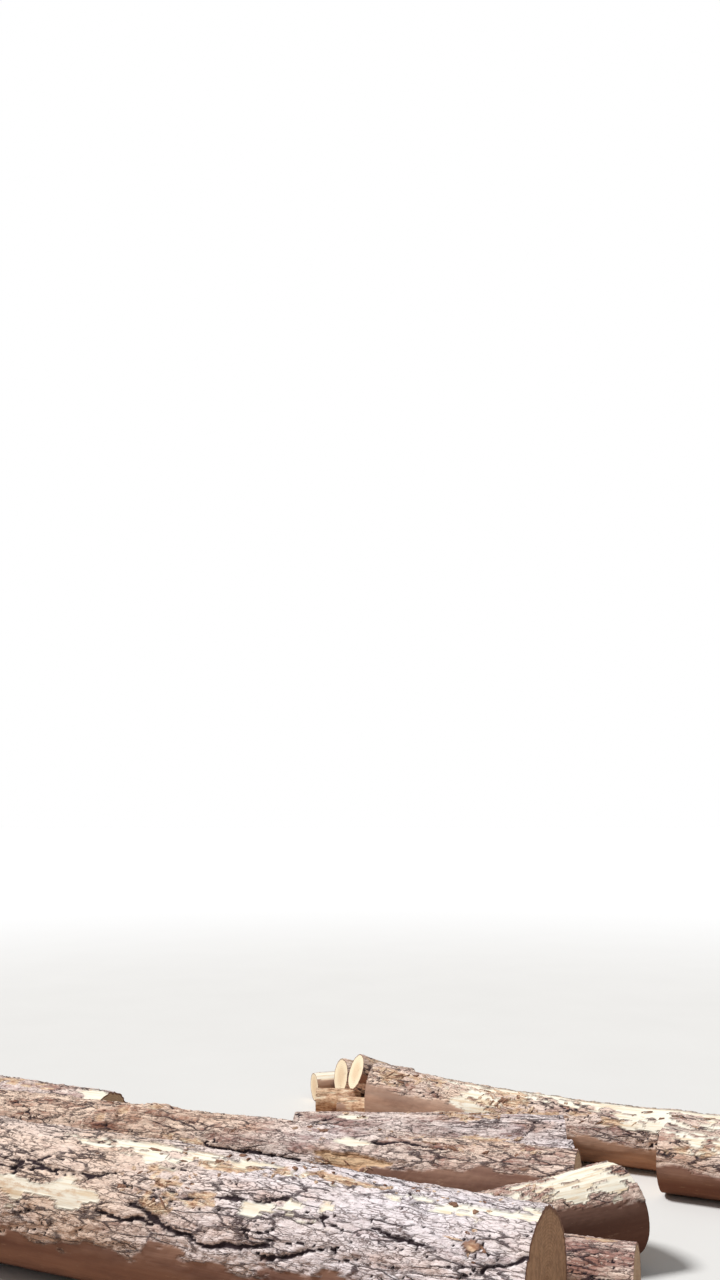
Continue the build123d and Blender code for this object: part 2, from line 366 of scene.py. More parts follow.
class Surface:
    """The bark of one log, on a grid of places along and round its stem."""

    def __init__(self, dressing):
        self.dressing = dressing
        self.stem = stem = Stem(dressing.node)
        rows = max(MIN_ROWS, round(stem.length / dressing.grid))
        columns = max(MIN_COLUMNS, round(stem.girth / dressing.grid))
        turn = (np.arange(columns) / columns)[None, :] - 0.25
        middle_radius = np.full((1, columns), stem.girth / FULL_TURN)
        first = stem.end_place(False, middle_radius, turn)
        last = stem.end_place(True, middle_radius, turn)
        self.along = first + (last - first) * np.linspace(0, 1, rows + 1)[:, None]
        self.turn = turn + 0 * self.along
        self.from_seen = dressing.turned(self.along, stem.length)

    def noise(self, grain, seed, long=1.0, wide=1.0):
        value = self.stem.layered(self.along, self.turn, grain.long * long, grain.wide * wide, grain.octaves,
                                  seed + grain.seed)
        return grain.height * value

    def profile(self, values):
        """Values given evenly spaced from the seen end to the other end."""
        return np.interp(self.from_seen / self.stem.length, np.linspace(0, 1, len(values)), values)

    def offsets(self, mark):
        """Distances from the middle of a patch or knot, along and round the stem."""
        off = (self.turn - mark.angle / 360 + 0.5) % 1 - 0.5
        return self.along - self.dressing.turned(mark.at, self.stem.length), off * self.stem.girth

    def patch_mask(self, patch):
        across, around = self.offsets(patch)
        seed = self.dressing.seed * 31 + int(patch.at * 1000)
        around = around + self.noise(PATCH_LEAN, seed) * patch.wide
        reach = np.abs(across / patch.long) ** PATCH_POWER + np.abs(around / patch.wide) ** PATCH_POWER
        rough = patch.ragged * self.noise(PATCH_EDGE, seed)
        mask = 1 - smooth_step(*PATCH_RIM, reach ** (1 / PATCH_POWER) + rough)
        if patch.kind in SPECK_COVER:
            cover = SPECK_COVER[patch.kind]
            specks = self.noise(PATCH_SPECKS, seed)
            mask = mask * smooth_step(cover - SPECK_SOFTNESS, cover + SPECK_SOFTNESS, specks)
        return mask

    def shaded_belly_mask(self):
        """The underside, rubbed smooth and painted with shade, whose upper edge winds along the log."""
        seed = self.dressing.seed
        edge = self.profile(self.dressing.shaded_belly)
        wind = self.noise(BELLY_WIND, seed) + self.noise(BELLY_EDGE, seed)
        angle = (self.turn * 360 + 90) % 360 - 90
        front = smooth_step(0, BELLY_SOFTNESS, edge + wind - angle)
        back = smooth_step(0, BELLY_SOFTNESS, angle - (BELLY_BACK + wind))
        return np.maximum(front * (angle < 90), back)

    def long_cracks(self):
        """How deep a point lies in one of the long cracks, from 0 to 1."""
        girth, seed = self.stem.girth, self.dressing.seed
        x = self.from_seen + self.noise(CRACK_WANDER_ALONG, seed)
        y = ((self.turn + 0.25) % 1 - 0.25) * girth + self.noise(CRACK_WANDER_ROUND, seed)
        depth = np.zeros(x.shape)
        for crack in self.dressing.cracks:
            points = [(at, angle / 360 * girth) for at, angle in crack.points]
            for (x0, y0), (x1, y1) in zip(points, points[1:]):
                square = (x1 - x0) ** 2 + (y1 - y0) ** 2
                share = np.clip(((x - x0) * (x1 - x0) + (y - y0) * (y1 - y0)) / square, 0, 1)
                gap = np.hypot(x - x0 - share * (x1 - x0), y - y0 - share * (y1 - y0))
                depth = np.maximum(depth, 1 - smooth_step(CRACK_BOTTOM * crack.width, crack.width, gap))
        return depth

    def knots(self):
        """Height of the knots, and where their torn hearts are."""
        height, hearts = np.zeros(self.along.shape), np.zeros(self.along.shape)
        for knot in self.dressing.knots:
            across, around = self.offsets(knot)
            share = np.hypot(across * KNOT_STRETCH, around) / knot.reach
            ripple = KNOT_RIPPLE[0] * np.sin(share * KNOT_RIPPLE[1]) * np.exp(-share * share)
            height = height + knot.height * (np.exp(-share * share * KNOT_STEEPNESS) + ripple)
            hearts = np.maximum(hearts, 1 - smooth_step(*KNOT_HEART, share))
        return height - KNOT_HEART_DEPTH * hearts, hearts

    def plated(self, u, v, size, seed):
        """Plates of a share of the usual size: how far their edges are, and their numbers."""
        long, wide = self.dressing.plate
        return self.stem.plated(u, v, long * size[0], wide * size[1], seed)

    def rough_bark(self):
        """Height of the plated bark, how deep a point lies in a crack, and the shade of its plate."""
        long, wide = self.dressing.plate
        seed = self.dressing.seed * 101
        u = self.along + self.noise(PLATE_BEND_ALONG, seed, long, wide) * long
        v = self.turn + self.noise(PLATE_BEND_ROUND, seed, long, wide) * wide / self.stem.girth
        gap, plate = self.plated(u, v, (1, 1), seed + 3)
        cracked = self.noise(CRACKED_PLACES, seed, long, wide)
        width = CRACK_WIDTHS[0] + CRACK_WIDTHS[1] * smooth_step(*CRACK_WIDENING, cracked)
        crack = 1 - smooth_step(PLATE_CRACK_BOTTOM * width, width, gap)
        crack = crack * smooth_step(*CRACKED_RANGE, cracked)
        gap, flake = self.plated(u, v, FLAKE_SIZE, seed + 5)
        flake_edge = 1 - smooth_step(0.0, FLAKE_EDGE, gap)
        gap, small = self.plated(u, v, SMALL_SIZE, seed + 6)
        small_edge = 1 - smooth_step(0.0, SMALL_EDGE, gap)

        numbers, gaps = (plate, flake, small), (crack, flake_edge, small_edge)
        raised = weighted(RISE, [number - level for number, level in zip(numbers, LEVELS)])
        height = raised + self.noise(BARK_SWELL, seed) - weighted(SINK, gaps) + self.noise(BARK_FINE, seed)
        depth = np.clip(weighted(DARKEN, gaps), 0, 1)
        return self.dressing.depth * height, depth, weighted(SHADE, numbers)

    def masks(self, hearts):
        """Where the bark is bare, torn to the inner bark, rubbed smooth and painted dark (on undersides as
        painted shade), or split, each from 0 to 1.
        """
        found = {kind: np.zeros(self.along.shape) for kind in ("bare", "inner", "rubbed_and_shade", "scar")}
        if self.dressing.shaded_belly:
            found["rubbed_and_shade"] = self.shaded_belly_mask()
        shown_as = {"speckled": "bare", "torn": "inner"}
        for patch in self.dressing.patches:
            kind = shown_as.get(patch.kind, patch.kind)
            found[kind] = np.maximum(found[kind], self.patch_mask(patch))
        found["inner"] = np.maximum(np.maximum(found["inner"], found["scar"]), hearts)
        return found

    def shape(self):
        """Works out the height of every place over the solid, and what the material has to know of it."""
        dressing, seed = self.dressing, self.dressing.seed
        height, crack, plate = self.rough_bark()
        if dressing.cracks:
            deep = self.long_cracks()
            height, crack = height - LONG_CRACK_DEPTH * deep, np.maximum(crack, deep)
        knobs, hearts = self.knots()
        masks = self.masks(hearts)
        bare, inner, rubbed_and_shade, scar = (masks[kind] for kind in ("bare", "inner", "rubbed_and_shade", "scar"))
        height = height * (1 - RUBBED_SMOOTHING * rubbed_and_shade) - RUBBED_SINK * rubbed_and_shade
        height = height * (1 - inner) + inner * (self.noise(TORN_SHREDS, seed) - INNER_SINK)
        height = height * (1 - bare) + bare * (self.noise(WOOD_FIBRES, seed) - BARE_SINK)
        height = height + knobs - SCAR_SINK * scar
        crack = crack * (1 - bare) * (1 - INNER_CRACK_CUT * inner) * (1 - RUBBED_CRACK_CUT * rubbed_and_shade)
        warm = np.clip(self.profile(dressing.warm) + self.noise(WARM_CLOUDS, seed), 0, 1)
        even = {name: getattr(dressing, name) + 0 * warm for name in ("pale", "aged_and_shade", "tone_and_shade")}
        self.radius = self.stem.radius(self.along, self.turn) + height
        self.facts = {"crack": crack, "plate": plate, **masks, "warm": warm, **even}


def add_piece(dressing, kind, points, faces, facts, materials):
    """Makes a visible piece of a log. Its material reads the facts, one value or vector for each point."""
    mesh = bpy.data.meshes.new(f"{dressing.node}_{kind}")
    mesh.from_pydata(points.tolist(), [], faces)
    for name, values in facts.items():
        form, key = ("FLOAT_VECTOR", "vector") if values.ndim == 2 else ("FLOAT", "value")
        values = values.astype(np.float32).ravel()
        mesh.attributes.new(name, form, "POINT").data.foreach_set(key, values)
    for material in materials:
        mesh.materials.append(material)
    piece = add_object(mesh.name, mesh)
    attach(piece, "root")
    return piece


class LogMesh:
    """The points, faces and facts of one log's bark and its two sawn ends, as one mesh."""

    def __init__(self, surface):
        self.surface = surface
        self.points, self.faces, self.slots = [], [], []
        self.facts = {name: [] for name in (*surface.facts, "stem", "pith")}
        self.count = 0
        self.add_bark()
        self.last_rings = [self.add_sawn_end(right) for right in (False, True)]

    def add(self, along, radius, turn, points, facts, pith):
        """Adds rings of points, and gives their numbers."""
        angle = turn * FULL_TURN
        self.points.append(points.reshape(-1, 3))
        self.facts["stem"].append(
            np.stack([along, radius * np.cos(angle), radius * np.sin(angle)], -1).reshape(-1, 3))
        self.facts["pith"].append((pith + 0 * radius).ravel())
        for name, values in facts.items():
            self.facts[name].append((values + 0 * radius).ravel())
        numbers = self.count + np.arange(radius.size).reshape(radius.shape)
        self.count += radius.size
        return numbers, np.roll(numbers, -1, axis=1)

    def add_bark(self):
        surface = self.surface
        stem, along, turn, radius = surface.stem, surface.along, surface.turn, surface.radius
        points = stem.centre(along) + radius[..., None] * stem.direction(turn * FULL_TURN)
        ring, after = self.add(along, radius, turn, points, surface.facts, 1.0)
        self.faces.append(np.stack([ring[:-1], after[:-1], after[1:], ring[1:]], -1).reshape(-1, 4))
        self.slots += [BARK_SLOT] * len(self.faces[-1])

    def add_sawn_end(self, right):
        """Adds one sawn end as rings from the rim to the pith, and gives the points of the last one."""
        surface, stem = self.surface, self.surface.stem
        edge = -1 if right else 0
        reach = CAP_RINGS[:, None] * surface.radius[edge][None, :]
        turn = surface.turn[edge][None, :] + 0 * reach
        end = stem.length if right else 0.0
        marks = SAW_MARK_HEIGHT * np.sin(reach * np.sin(turn * FULL_TURN + SAW_MARK_LEAN) / SAW_MARK_PITCH)
        place = stem.end_place(right, reach, turn) + marks * (CAP_RINGS[:, None] < SAW_MARK_LIMIT)
        points = stem.centre(np.array(end)) + stem.axis * (place - end)[..., None]
        points = points + reach[..., None] * stem.direction(turn * FULL_TURN)
        facts = {name: values[edge][None, :] for name, values in surface.facts.items()}
        ring, after = self.add(place, reach, turn, points, facts, CAP_RINGS[:, None])
        faces = np.stack([ring[:-1], ring[1:], after[1:], after[:-1]], -1).reshape(-1, 4)
        self.faces.append(faces[:, ::-1] if right else faces)
        self.slots += [SAWN_SLOT] * len(faces)
        return ring[-1].tolist()

    def finish(self, materials):
        """Makes the piece that stands for the CAD node, and a search tree of its faces."""
        dressing = self.surface.dressing
        points = np.concatenate(self.points)
        points[:, 2] = np.maximum(points[:, 2], FLOOR_GAP)
        left_pith, right_pith = self.last_rings
        faces = [tuple(face) for face in np.concatenate(self.faces).tolist()]
        faces += [tuple(left_pith[::-1]), tuple(right_pith)]
        facts = {name: np.concatenate(values) for name, values in self.facts.items()}
        piece = add_piece(dressing, "dressed", points, faces, facts, materials)
        piece.data.polygons.foreach_set("material_index", self.slots + [SAWN_SLOT, SAWN_SLOT])
        piece.data.polygons.foreach_set("use_smooth", [True] * len(faces))
        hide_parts(dressing.node)
        return BVHTree.FromPolygons(points.tolist(), faces)


# Loose pieces of bark: two layers of a bent grid of points, closed by a rim
PIECE_LONG, PIECE_WIDE = 5, 4
PIECE_LAYER = PIECE_LONG * PIECE_WIDE
PIECE_RIM = (0, 4, 8, 12, 16, 17, 18, 19, 15, 11, 7, 3, 2, 1)  # its outline, by points of the grid
PIECE_END_MARGIN = 0.01  # none lies nearer than this to a sawn end
PIECE_SPIN = 1.8  # radians
PIECE_SHORTEST = 0.2  # as a share of the longest
PIECE_WIDTHS = (0.0025, 0.008)  # the least, and how much more it can be, as in the next three
PIECE_THICKNESSES = (0.001, 0.0015)
PIECE_CURLS = (0.2, 0.8)
PIECE_TAPERS = (0.2, 0.7)
PIECE_TILT = 0.5
PIECE_SUNK = 0.0015
PIECE_RAGGED = (0.45, 0.7)  # of its outline, along and across
PIECE_BUCKLE = 0.0008
PIECE_PICKS, PIECE_JAGS = 3, 4  # seeds of its size and place, and of its outline


def between(limits, share):
    least, more = limits
    return least + more * share


class LooseBark:
    """Small curled pieces of bark that lie on a log where it was knocked."""

    def __init__(self, surface, tree):
        self.dressing, self.stem, self.tree = surface.dressing, surface.stem, tree
        self.points, self.faces, self.shades = [], [], []
        number = 0
        for loose in self.dressing.flakes:
            for _ in range(loose.count):
                number += 1
                self.add_piece(loose, number)

    def random(self, number, first, count, kind):
        seed = self.dressing.seed * 7 + kind
        return [float(scatter(np.int64(number), np.int64(first + k), seed)) for k in range(count)]

    def foot(self, loose, along_share, round_share):
        """The point of the log under a piece, and the way outward there."""
        from_seen = loose.at + loose.half_long * (2 * along_share - 1)
        along = self.dressing.turned(from_seen, self.stem.length)
        if not PIECE_END_MARGIN < along < self.stem.length - PIECE_END_MARGIN:
            return None, None
        radians = math.radians(loose.angle + loose.half_angle * (2 * round_share - 1))
        way = self.stem.direction(np.array(radians))
        start = self.stem.centre(np.array(along)) + way * RAY_REACH
        return self.tree.ray_cast(Vector(start), Vector(-way), RAY_REACH)[0], way

    def add_piece(self, loose, number):
        picks = self.random(number, 0, 10, PIECE_PICKS)
        foot, way = self.foot(loose, *picks[:2])
        if foot is None:
            return
        spin, length, width, curl, tilt, thickness, taper, shade = picks[2:]
        spin = (spin - 0.5) * PIECE_SPIN
        long_way = self.stem.axis * math.cos(spin) + np.cross(way, self.stem.axis) * math.sin(spin)
        wide_way = np.cross(way, long_way)
        long = PIECE_SHORTEST * loose.longest + (1 - PIECE_SHORTEST) * loose.longest * length ** 2
        wide = between(PIECE_WIDTHS, width ** 2) / loose.slender
        curl, taper = between(PIECE_CURLS, curl), between(PIECE_TAPERS, taper)
        tilt = (tilt - 0.4) * PIECE_TILT
        jags = self.random(number, 20, PIECE_LAYER, PIECE_JAGS)
        self.add_faces(len(self.points))
        for layer in (0.0, between(PIECE_THICKNESSES, thickness)):
            for k, jag in enumerate(jags):
                i, j = divmod(k, PIECE_WIDE)
                x, y, jag = 2 * i / (PIECE_LONG - 1) - 1, 2 * j / (PIECE_WIDE - 1) - 1, jag - 0.5
                narrow = 1 - taper * abs(x) ** 3
                lift = wide * curl * 0.5 * (1 - y * y) + long * tilt * (x + 1) * 0.35 + layer - PIECE_SUNK
                place = np.array(foot[:]) + long_way * long * (x + PIECE_RAGGED[0] * jag)
                place = place + wide_way * wide * narrow * (y + PIECE_RAGGED[1] * jag)
                self.points.append(place + way * (lift + PIECE_BUCKLE * math.sin(7 * x + 5 * y)))
                self.shades.append(shade)

    def add_faces(self, base):
        for layer in (0, PIECE_LAYER):
            for i in range(PIECE_LONG - 1):
                for j in range(PIECE_WIDE - 1):
                    a = base + layer + i * PIECE_WIDE + j
                    quad = (a, a + 1, a + PIECE_WIDE + 1, a + PIECE_WIDE)
                    self.faces.append(quad if layer else quad[::-1])
        for here, there in zip(PIECE_RIM, PIECE_RIM[1:] + PIECE_RIM[:1]):
            top = base + PIECE_LAYER
            self.faces.append((base + here, base + there, top + there, top + here))

    def finish(self, materials):
        facts = {"shade": np.array(self.shades)}
        add_piece(self.dressing, "flakes", np.array(self.points), self.faces, facts, materials)


# Colours, most as a pair that noise mixes: the darker and the lighter one
GREY_BARK = ((0.47, 0.37, 0.40), (1.0, 0.94, 1.0))
BROWN_BARK = ((0.40, 0.18, 0.12), (1.0, 0.76, 0.60))
BARK_BLOTCH = (0.72, 0.42, 0.28)
BARK_SPECKS = ((1.0, 0.96, 0.97), (1.0, 0.81, 0.67))  # on grey and on brown bark
BARK_PIT = (0.24, 0.14, 0.12)
THIN_LINE = (0.13, 0.07, 0.06)
THICK_LINE = (0.07, 0.042, 0.05)
CRACK_BLACK = (0.045, 0.028, 0.033)
# Painted shade: the next five colours are for the smooth undersides of the logs, the sides turned from the
# light
DARK_SHADE_UNDERSIDE = ((0.25, 0.125, 0.09), (0.44, 0.26, 0.185))
DEEP_SHADE_UNDERSIDE = (0.11, 0.058, 0.045)
PALE_SHADE_UNDERSIDE = ((0.60, 0.36, 0.25), (0.82, 0.58, 0.44))
UNDERSIDE_SMUDGE = (0.16, 0.085, 0.07)
UNDERSIDE_SCUFF = (0.62, 0.42, 0.30)
TORN_BARK = ((0.40, 0.20, 0.12), (0.86, 0.60, 0.40))
TORN_FIBRE = (1.0, 0.88, 0.68)
BARE_WOOD = ((0.84, 0.66, 0.45), (1.0, 0.95, 0.81))
WOOD_STAIN = (0.62, 0.36, 0.19)
SPLIT_WOOD = ((0.64, 0.37, 0.21), (0.98, 0.72, 0.46))
FLAKE_OUTSIDE = ((0.14, 0.07, 0.045), (0.38, 0.21, 0.14))
FLAKE_INSIDE = ((0.50, 0.31, 0.20), (0.88, 0.70, 0.52))
FRESH_CUT = ((0.98, 0.82, 0.56), (1.0, 0.93, 0.72))
LATE_WOOD = (0.66, 0.40, 0.19)
HEART_WOOD = (0.62, 0.33, 0.15)
CUT_DIRT = (0.36, 0.20, 0.11)
CUT_RIM = ((0.16, 0.08, 0.05), (0.36, 0.2, 0.13))
# Ochre brown of age and painted shade, for sawn ends turned from the light
AGED_AND_SHADED_CUT = ((0.34, 0.17, 0.09), (0.62, 0.37, 0.21))
AGED_AND_SHADED_LATE_WOOD = (0.24, 0.12, 0.065)
RING_WIDTH = 0.0095
FLOOR_NEAR = ((0.74, 0.73, 0.71), (0.78, 0.77, 0.75))
FLOOR_FAR = (0.9, 0.9, 0.9)
FLOOR_FADE = (4.0, 14.0)  # distances from the heap
GROUND_GLOW = (0.34, 0.22, 0.15)  # the floor as the logs are lit by it


class Nodes:
    """Short words for making the nodes of a material or a world."""

    def __init__(self, owner):
        owner.use_nodes = True
        self.owner, self.tree = owner, owner.node_tree

    def fill(self, node, inputs):
        """Gives each input its value, or links it to the output given."""
        for name, value in inputs.items():
            if isinstance(value, bpy.types.NodeSocket):
                self.tree.links.new(value, node.inputs[name])
            else:
                node.inputs[name].default_value = value

    def node(self, kind, inputs, **settings):
        """A new node's outputs, after its settings and its inputs are set."""
        node = self.tree.nodes.new("ShaderNode" + kind)
        for name, value in settings.items():
            setattr(node, name, value)
        self.fill(node, inputs)
        return node.outputs

    def number(self, operation, first, second=0.0):
        return self.node("Math", {0: first, 1: second}, operation=operation)[0]

    def seen_directly(self, *rays):
        """1 for the camera's rays and for rays of the other kinds named."""
        path = self.node("LightPath", {})
        seen = path["Is Camera Ray"]
        for ray in rays:
            seen = self.number("MAXIMUM", seen, path[f"Is {ray} Ray"])
        return seen


class Shader(Nodes):
    """A material, and what its colours and reliefs are made with."""

    def __init__(self, name):
        super().__init__(bpy.data.materials.new(name))

    def fact(self, name, output="Fac"):
        return self.node("Attribute", {}, attribute_name=name)[output]

    def position(self):
        return self.node("NewGeometry", {})["Position"]

    def weighted(self, *terms):
        """The sum of values, each times its weight."""
        total = None
        for value, weight in terms:
            part = value if weight == 1 else self.number("MULTIPLY", value, weight)
            total = part if total is None else self.number("ADD", total, part)
        return total

    def rest(self, value):
        """What is left of 1."""
        return self.number("SUBTRACT", 1.0, value)

    def length(self, vector):
        return self.node("VectorMath", {0: vector}, operation="LENGTH")["Value"]

    def mix(self, share, first, second):
        first, second = ((*c, 1) if isinstance(c, tuple) else c for c in (first, second))
        return self.node("Mix", {0: share, 6: first, 7: second}, data_type="RGBA")[2]

    def stain(self, colour, share, strength, other):
        """A colour with another over it, at most at a strength."""
        return self.mix(self.number("MULTIPLY", share, strength), colour, other)

    def stretched(self, place, scale):
        return self.node("VectorMath", {0: place, 1: scale}, operation="MULTIPLY")[0]

    def noise(self, place, scale, detail, rough, output="Fac"):
        inputs = {"Vector": place, "Scale": scale, "Detail": detail, "Roughness": rough}
        return self.node("TexNoise", inputs)[output]

    def scales(self, place, scale):
        """Of the bark scale at a point: its own number, and its distance to the next one."""
        inputs = {"Vector": place, "Scale": scale}
        colour = self.node("TexVoronoi", inputs, feature="F1")["Color"]
        edge = self.node("TexVoronoi", inputs, feature="DISTANCE_TO_EDGE")["Distance"]
        return self.node("SeparateColor", {0: colour})[0], edge

    def jagged(self, place, scale, amount):
        """A place moved about by noise."""
        drift = self.noise(place, scale, detail=5, rough=0.65, output="Color")
        return self.node("VectorMath", {0: drift, 1: (amount,) * 3, 2: place}, operation="MULTIPLY_ADD")[0]

    def spread(self, value, low, high):
        """0 below low, 1 above high, smooth between."""
        inputs = {"Value": value, "From Min": low, "From Max": high}
        return self.node("MapRange", inputs, interpolation_type="SMOOTHSTEP")["Result"]

    def cloud(self, place, scale, detail, rough, low, high):
        """Noise spread between two of its values."""
        return self.spread(self.noise(place, scale, detail, rough), low, high)

    def bump(self, height, strength, distance):
        return self.node("Bump", {"Height": height, "Strength": strength, "Distance": distance})["Normal"]

    def finish(self, colour, rough, specular, **more):
        inputs = {"Base Color": colour, "Roughness": rough, "Specular IOR Level": specular, **more}
        self.fill(self.tree.nodes["Principled BSDF"], inputs)
        return self.owner


class BarkShader(Shader):
    """Plated bark, grey or brown, with bare wood, torn inner bark, and rubbed places coloured with painted
    shade.
    """

    def __init__(self):
        super().__init__("pine_bark")
        self.stem = self.fact("stem", "Vector")
        self.long = self.stretched(self.stem, (0.35, 1, 1))
        self.fibre = self.stretched(self.stem, (0.06, 1, 1))
        self.coarse = self.noise(self.long, scale=22, detail=5, rough=0.65)
        self.fine = self.noise(self.long, scale=120, detail=4, rough=0.7)
        self.streak = self.noise(self.fibre, scale=75, detail=4, rough=0.65)
        place = self.jagged(self.stretched(self.stem, (0.22, 1, 1)), scale=30, amount=0.028)
        self.big, big_edge = self.scales(place, 32)
        self.small, small_edge = self.scales(place, 90)
        opened = self.cloud(self.long, 14, 3, 0.6, 0.42, 0.56)
        self.lines = self.number("MULTIPLY", self.rest(self.spread(big_edge, 0.015, 0.08)), opened)
        opened = self.cloud(self.long, 30, 3, 0.6, 0.36, 0.56)
        self.thin_lines = self.number("MULTIPLY", self.rest(self.spread(small_edge, 0.01, 0.10)), opened)

    def bark(self):
        warm = self.fact("warm")
        tone = self.weighted((self.fact("plate"), 0.30), (self.coarse, 0.60), (self.big, 0.24),
                             (self.small, 0.22), (self.fact("tone_and_shade"), -0.14))
        light = self.spread(tone, 0.33, 0.76)
        colour = self.mix(warm, self.mix(light, *GREY_BARK), self.mix(light, *BROWN_BARK))
        colour = self.stain(colour, self.cloud(self.long, 9, 3, 0.6, 0.54, 0.72), 0.45, BARK_BLOTCH)
        colour = self.stain(colour, self.spread(self.fine, 0.55, 0.66), 0.7, self.mix(warm, *BARK_SPECKS))
        colour = self.stain(colour, self.rest(self.spread(self.fine, 0.34, 0.43)), 0.65, BARK_PIT)
        colour = self.stain(colour, self.thin_lines, 0.75, THIN_LINE)
        colour = self.stain(colour, self.lines, 0.85, THICK_LINE)
        ragged = self.weighted((self.fact("crack"), 1), (self.number("SUBTRACT", self.fine, 0.5), 0.45))
        return self.mix(self.spread(ragged, 0.15, 0.8), colour, CRACK_BLACK)

    # Painted shade on a log's smooth underside, deeper or paler as the log is set
    def shaded_underside(self):
        shade_mottle = self.cloud(self.fibre, 14, 4, 0.6, 0.3, 0.75)
        # Logs set darker get deeper painted shade on the underside.
        dark = self.stain(self.mix(shade_mottle, *DARK_SHADE_UNDERSIDE), self.fact("tone_and_shade"), 0.6, DEEP_SHADE_UNDERSIDE)
        colour = self.mix(self.fact("pale"), dark, self.mix(shade_mottle, *PALE_SHADE_UNDERSIDE))
        colour = self.stain(colour, self.cloud(self.long, 7, 4, 0.65, 0.42, 0.68), 0.5, UNDERSIDE_SMUDGE)
        place = self.stretched(self.stem, (0.25, 1, 1))
        return self.stain(colour, self.cloud(place, 48, 5, 0.7, 0.60, 0.70), 0.4, UNDERSIDE_SCUFF)

    def torn_bark(self):
        shred = self.noise(self.stretched(self.stem, (0.3, 1, 1)), scale=75, detail=5, rough=0.75)
        colour = self.mix(self.spread(shred, 0.36, 0.54), *TORN_BARK)
        return self.stain(colour, self.spread(shred, 0.53, 0.63), 0.9, TORN_FIBRE)

    def bare_wood(self):
        colour = self.mix(self.spread(self.streak, 0.30, 0.58), *BARE_WOOD)
        return self.stain(colour, self.cloud(self.long, 18, 5, 0.7, 0.57, 0.70), 0.65, WOOD_STAIN)

    def split_wood(self):
        return self.mix(self.cloud(self.fibre, 45, 3, 0.6, 0.35, 0.65), *SPLIT_WOOD)

    def relief(self):
        bark = self.weighted((self.coarse, 1.3), (self.fine, 0.7), (self.big, 0.6), (self.small, 0.3),
                             (self.lines, -0.9), (self.thin_lines, -0.25))
        unrubbed = self.rest(self.number("MAXIMUM", self.fact("bare"), self.fact("rubbed_and_shade")))
        return self.weighted((self.number("MULTIPLY", bark, unrubbed), 1), (self.streak, 0.15))


def bark_material():
    s = BarkShader()
    # The rubbed underside's colour is painted shade.
    colour = s.mix(s.fact("rubbed_and_shade"), s.bark(), s.shaded_underside())
    colour = s.mix(s.fact("inner"), colour, s.torn_bark())
    colour = s.mix(s.fact("scar"), colour, s.split_wood())
    colour = s.mix(s.fact("bare"), colour, s.bare_wood())
    rough = s.number("SUBTRACT", 0.92, s.number("MULTIPLY", s.fact("bare"), 0.27))
    return s.finish(colour, rough, 0.25, Normal=s.bump(s.relief(), strength=0.9, distance=0.009))


def flake_material():
    """Loose bark, pale orange inside and brown outside."""
    s = Shader("loose_bark")
    fine = s.noise(s.position(), scale=180, detail=4, rough=0.7)
    mottle = s.spread(fine, 0.35, 0.65)
    inside = s.spread(s.fact("shade"), 0.3, 0.7)
    colour = s.mix(inside, s.mix(mottle, *FLAKE_OUTSIDE), s.mix(mottle, *FLAKE_INSIDE))
    return s.finish(colour, 0.85, 0.2, Normal=s.bump(fine, strength=0.5, distance=0.002))


def sawn_material():
    """A sawn end: growth rings, a darker heart, dirt, saw marks, an ochre brown of age and painted shade, and
    a rim of bark.
    """
    s = Shader("sawn_end")
    stem = s.fact("stem", "Vector")
    across = s.stretched(stem, (0, 1, 1))
    wander = s.noise(across, scale=9, detail=2, rough=0.5)
    reach = s.weighted((s.length(across), 1), (s.number("SUBTRACT", wander, 0.5), 0.016))
    late = s.spread(s.number("SINE", s.number("MULTIPLY", reach, FULL_TURN / RING_WIDTH)), 0.15, 0.95)
    fibre = s.noise(across, scale=260, detail=3, rough=0.6)
    face = s.stain(s.mix(s.spread(fibre, 0.3, 0.7), *FRESH_CUT), late, 0.30, LATE_WOOD)
    face = s.stain(face, s.rest(s.spread(reach, 0.02, 0.075)), 0.35, HEART_WOOD)
    face = s.stain(face, s.cloud(across, 28, 4, 0.65, 0.56, 0.75), 0.35, CUT_DIRT)
    # Sawn ends turned from the light are browned: painted shade as well as age.
    ochre = s.mix(s.cloud(across, 40, 4, 0.7, 0.35, 0.65), *AGED_AND_SHADED_CUT)
    ochre = s.stain(ochre, late, 0.4, AGED_AND_SHADED_LATE_WOOD)
    face = s.mix(s.fact("aged_and_shade"), face, ochre)
    face = s.mix(s.spread(s.fact("pith"), 0.935, 0.96), face, s.mix(s.spread(fibre, 0.35, 0.65), *CUT_RIM))
    saw = s.noise(s.stretched(stem, (0, 0.15, 1)), scale=240, detail=3, rough=0.6)
    relief = s.weighted((saw, 0.6), (late, 0.25))
    return s.finish(face, 0.75, 0.3, Normal=s.bump(relief, strength=0.6, distance=0.002))


def floor_material():
    """Plain pale floor that turns white away from the heap."""
    s = Shader("pale_floor")
    mottle = s.noise(s.position(), scale=1.5, detail=3, rough=0.5)
    shown = s.mix(s.spread(s.length(s.position()), *FLOOR_FADE), s.mix(mottle, *FLOOR_NEAR), FLOOR_FAR)
    return s.finish(s.mix(s.seen_directly("Glossy"), GROUND_GLOW, shown), 0.9, 0.1)


FLOOR_HALF = 60.0
FILL_STRENGTH = 0.30
KEY_ENERGY = 3.2
KEY_SOFTNESS = math.radians(14)
KEY_FROM = (-0.58, -0.02, 0.81)
CAMERA_PLACE = (-0.044, -4.934, 1.65)
CAMERA_TILT = math.radians(98.27)
CAMERA_LENS = 30.94  # mm, for a sensor 36 mm high


def add_floor():
    mesh = bpy.data.meshes.new("floor")
    corners = [(FLOOR_HALF * x, FLOOR_HALF * y, 0) for x, y in ((-1, -1), (1, -1), (1, 1), (-1, 1))]
    mesh.from_pydata(corners, [], [(0, 1, 2, 3)])
    mesh.materials.append(floor_material())
    floor = add_object("floor", mesh)


